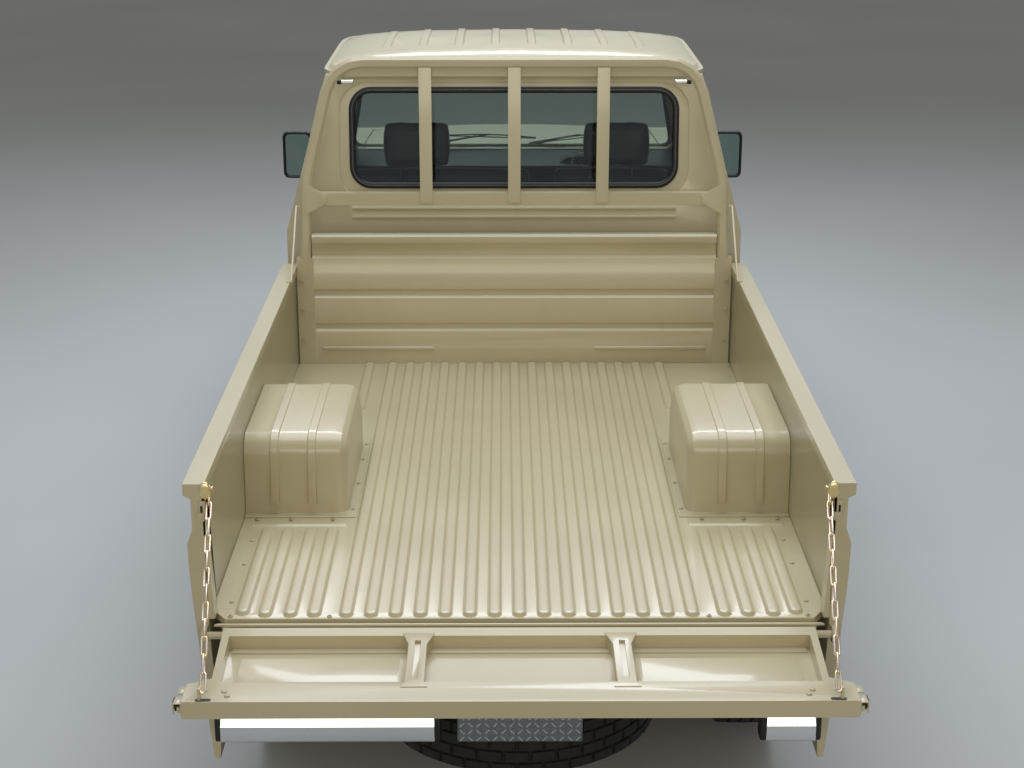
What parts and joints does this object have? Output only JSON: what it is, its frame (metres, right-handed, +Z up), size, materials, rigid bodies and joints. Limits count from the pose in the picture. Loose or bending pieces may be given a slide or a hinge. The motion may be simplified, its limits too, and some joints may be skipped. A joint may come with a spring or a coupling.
{
  "type": "pickup truck",
  "caption": "Single-cab pickup truck with a ribbed cargo bed, guard frame behind the cab and a tailgate hanging open on chains.",
  "frame": {"origin": "on the ground under the middle of the truck with its tailgate hanging open", "axes": "+Y towards the front of the truck, +X to its right, +Z up"},
  "size_m": [1.954, 5.435, 1.9503],
  "materials": {
    "black_plastic": "grained black plastic",
    "chassis_black": "satin black paint",
    "chrome": "bright chrome",
    "glass": "green tinted glass",
    "iron": "dark cast and forged iron",
    "lamp": "clear lamp lens",
    "paint": "gloss sand paint",
    "rubber": "black tyre rubber",
    "seat_cloth": "black woven cloth",
    "wheel_paint": "pale wheel paint",
    "zinc": "yellow passivated zinc on steel"
  },
  "bodies": {
    "truck": {"bed_floor": "paint", "bed_side_left": "paint", "bed_side_right": "paint", "cab_shell": "paint", "chassis_frame": "chassis_black", "dashboard": "black_plastic", "driver_seat": "seat_cloth", "exhaust": "iron", "front_axle": "iron", "front_bumper": "chrome", "front_fender_left": "paint", "front_fender_right": "paint", "front_panel": "paint", "fuel_tank": "chassis_black", "grille": "black_plastic", "guard_frame": "paint", "headboard": "paint", "headlamp_left": "lamp", "headlamp_right": "lamp", "passenger_seat": "seat_cloth", "powertrain": "iron", "rear_axle": "iron", "rear_bumper_left": "chrome", "rear_bumper_right": "chrome", "rear_step": "chrome", "rear_window": "glass", "roof_panel": "paint", "spare_wheel": "rubber", "tail_lamp_left": "lamp", "tail_lamp_right": "lamp", "wheelhouse_left": "paint", "wheelhouse_right": "paint", "windscreen": "glass"},
    "tailgate": {"tailgate": "paint"},
    "hood": {"hood": "paint"},
    "steering_wheel": {"steering_wheel": "black_plastic"},
    "tie_rod": {"tie_rod": "iron"},
    "chain_upper_left": {"chain_upper_left": "zinc"},
    "chain_lower_left": {"chain_lower_left": "zinc"},
    "door_left": {"door_left": "paint", "door_glass_left": "glass", "mirror_left": "black_plastic"},
    "knuckle_left": {"knuckle_left": "iron"},
    "wheel_front_left": {"tyre_front_left": "rubber", "rim_front_left": "wheel_paint"},
    "wheel_rear_left": {"tyre_rear_left": "rubber", "rim_rear_left": "wheel_paint"},
    "chain_upper_right": {"chain_upper_right": "zinc"},
    "chain_lower_right": {"chain_lower_right": "zinc"},
    "door_right": {"door_right": "paint", "door_glass_right": "glass", "mirror_right": "black_plastic"},
    "knuckle_right": {"knuckle_right": "iron"},
    "wheel_front_right": {"tyre_front_right": "rubber", "rim_front_right": "wheel_paint"},
    "wheel_rear_right": {"tyre_rear_right": "rubber", "rim_rear_right": "wheel_paint"}
  },
  "joints": [
    {"name": "tailgate_hinge", "type": "hinge", "parent": "truck", "child": "tailgate", "pos_m": [0, -2.3125, 0.78], "axis": [-1, 0, 0], "range_deg": [0, 90]},
    {"name": "chain_upper_left_swing", "type": "hinge", "parent": "truck", "child": "chain_upper_left", "pos_m": [-0.772, -2.2325, 1.155], "axis": [0.9994, 0.0329, 0.0046], "range_deg": [0, 63.1]},
    {"name": "chain_lower_left_swing", "type": "hinge", "parent": "tailgate", "child": "chain_lower_left", "pos_m": [-0.755, -2.7025, 0.827], "axis": [-0.9196, 0.2019, -0.3369], "range_deg": [0, 31.14]},
    {"name": "chain_upper_right_swing", "type": "hinge", "parent": "truck", "child": "chain_upper_right", "pos_m": [0.772, -2.2325, 1.155], "axis": [0.9994, -0.0329, -0.0046], "range_deg": [0, 63.1]},
    {"name": "chain_lower_right_swing", "type": "hinge", "parent": "tailgate", "child": "chain_lower_right", "pos_m": [0.755, -2.7025, 0.827], "axis": [-0.9196, -0.2019, 0.3369], "range_deg": [0, 31.14]},
    {"name": "door_left_hinge", "type": "hinge", "parent": "truck", "child": "door_left", "pos_m": [-0.859, 1.3025, 0.72], "axis": [0, 0, -1], "range_deg": [0, 70]},
    {"name": "door_right_hinge", "type": "hinge", "parent": "truck", "child": "door_right", "pos_m": [0.859, 1.3025, 0.72], "axis": [0, 0, 1], "range_deg": [0, 70]},
    {"name": "hood_hinge", "type": "hinge", "parent": "truck", "child": "hood", "pos_m": [0, 1.4735, 1.29987], "axis": [1, 0, 0], "range_deg": [0, 55]},
    {"name": "steer_left", "type": "hinge", "parent": "truck", "child": "knuckle_left", "pos_m": [-0.63, 1.9175, 0.39856], "axis": [0, 0, 1], "range_deg": [-32, 32]},
    {"name": "steer_right", "type": "hinge", "parent": "truck", "child": "knuckle_right", "pos_m": [0.63, 1.9175, 0.39856], "axis": [0, 0, 1], "range_deg": [-32, 32]},
    {"name": "tie_rod_swing", "type": "hinge", "parent": "knuckle_left", "child": "tie_rod", "pos_m": [-0.605, 1.7575, 0.39856], "axis": [0, 0, 1], "range_deg": [-32, 32]},
    {"name": "steering_wheel_turn", "type": "hinge", "parent": "truck", "child": "steering_wheel", "pos_m": [0.37, 0.8825, 1.14], "axis": [0, -0.8829, 0.4695], "range_deg": [-512, 512]},
    {"name": "wheel_front_left_spin", "type": "hinge", "parent": "knuckle_left", "child": "wheel_front_left", "pos_m": [-0.73, 1.9175, 0.39856], "axis": [-1, 0, 0], "continuous": true},
    {"name": "wheel_rear_left_spin", "type": "hinge", "parent": "truck", "child": "wheel_rear_left", "pos_m": [-0.715, -1.2625, 0.39856], "axis": [-1, 0, 0], "continuous": true},
    {"name": "wheel_front_right_spin", "type": "hinge", "parent": "knuckle_right", "child": "wheel_front_right", "pos_m": [0.73, 1.9175, 0.39856], "axis": [-1, 0, 0], "continuous": true},
    {"name": "wheel_rear_right_spin", "type": "hinge", "parent": "truck", "child": "wheel_rear_right", "pos_m": [0.715, -1.2625, 0.39856], "axis": [-1, 0, 0], "continuous": true}
  ],
  "couplings": [
    {"joint": "chain_upper_left_swing", "follows": "tailgate_hinge", "ratio": 0.70114},
    {"joint": "chain_lower_left_swing", "follows": "tailgate_hinge", "ratio": 0.346},
    {"joint": "chain_upper_right_swing", "follows": "tailgate_hinge", "ratio": 0.70114},
    {"joint": "chain_lower_right_swing", "follows": "tailgate_hinge", "ratio": 0.346},
    {"joint": "steer_right", "follows": "steer_left", "ratio": 1},
    {"joint": "tie_rod_swing", "follows": "steer_left", "ratio": -1},
    {"joint": "steering_wheel_turn", "follows": "steer_left", "ratio": 16}
  ]
}
